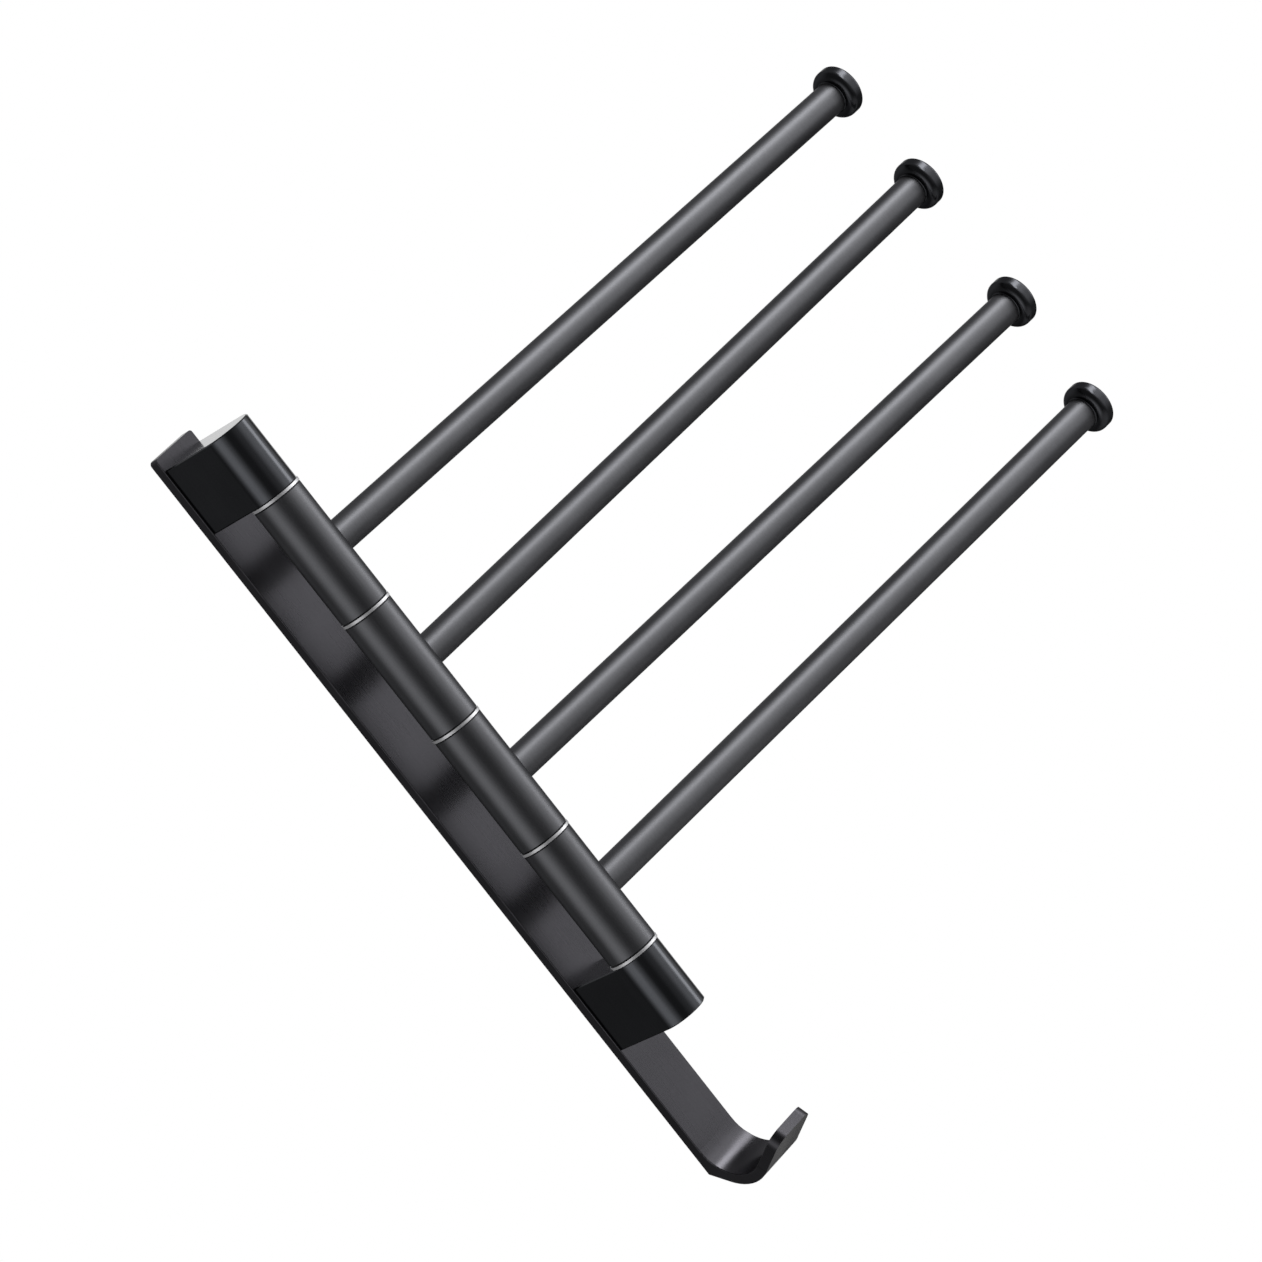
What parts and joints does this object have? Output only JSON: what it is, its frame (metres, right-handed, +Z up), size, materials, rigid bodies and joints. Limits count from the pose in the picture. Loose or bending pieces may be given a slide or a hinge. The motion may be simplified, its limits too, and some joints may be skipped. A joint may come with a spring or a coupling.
{
  "type": "swing arm towel bar",
  "caption": "Wall-held towel rack whose round arms with disc tips swing one by one on an upright pivot; its flat back strip ends in a J-shaped robe hook",
  "frame": {"origin": "in the wall plane, midway between the two wall screw holes, behind the middle of the pivot", "axes": "X along the wall with the arms' rest side on +X, +Y into the wall, +Z up"},
  "size_m": [0.3066, 0.0725, 0.3186],
  "materials": {
    "satin_black": "satin black anodised",
    "pale_washer": "bright stainless steel",
    "bright_steel": "plain stainless steel",
    "zinc_steel": "zinc plated",
    "white_nylon": "plain moulded"
  },
  "bodies": {
    "rack_frame": {"back_plate": "satin_black", "wall_strap": "zinc_steel", "upper_bracket": "satin_black", "lower_bracket": "satin_black", "bracket_screws": "bright_steel", "lock_screw": "bright_steel", "pivot_shaft": "bright_steel", "washer_1": "pale_washer", "washer_2": "pale_washer", "washer_3": "pale_washer", "washer_4": "pale_washer", "washer_5": "pale_washer"},
    "arm_1": {"arm_1_sleeve": "satin_black", "arm_1_upper_bush": "white_nylon", "arm_1_lower_bush": "white_nylon", "arm_1_screw": "bright_steel", "arm_1_rod_plug": "bright_steel", "arm_1_rod": "satin_black", "arm_1_tip_cap": "satin_black"},
    "arm_2": {"arm_2_sleeve": "satin_black", "arm_2_upper_bush": "white_nylon", "arm_2_lower_bush": "white_nylon", "arm_2_screw": "bright_steel", "arm_2_rod_plug": "bright_steel", "arm_2_rod": "satin_black", "arm_2_tip_cap": "satin_black"},
    "arm_3": {"arm_3_sleeve": "satin_black", "arm_3_upper_bush": "white_nylon", "arm_3_lower_bush": "white_nylon", "arm_3_screw": "bright_steel", "arm_3_rod_plug": "bright_steel", "arm_3_rod": "satin_black", "arm_3_tip_cap": "satin_black"},
    "arm_4": {"arm_4_sleeve": "satin_black", "arm_4_upper_bush": "white_nylon", "arm_4_lower_bush": "white_nylon", "arm_4_screw": "bright_steel", "arm_4_rod_plug": "bright_steel", "arm_4_rod": "satin_black", "arm_4_tip_cap": "satin_black"}
  },
  "joints": [
    {"name": "arm_1_swing", "type": "hinge", "parent": "rack_frame", "child": "arm_1", "pos_m": [0, -0.031, 0.07365], "axis": [0, 0, -1], "range_deg": [-8, 178]},
    {"name": "arm_2_swing", "type": "hinge", "parent": "rack_frame", "child": "arm_2", "pos_m": [0, -0.031, 0.02455], "axis": [0, 0, -1], "range_deg": [-9, 177]},
    {"name": "arm_3_swing", "type": "hinge", "parent": "rack_frame", "child": "arm_3", "pos_m": [0, -0.031, -0.02455], "axis": [0, 0, -1], "range_deg": [-9, 177]},
    {"name": "arm_4_swing", "type": "hinge", "parent": "rack_frame", "child": "arm_4", "pos_m": [0, -0.031, -0.07365], "axis": [0, 0, -1], "range_deg": [-9, 177]}
  ]
}
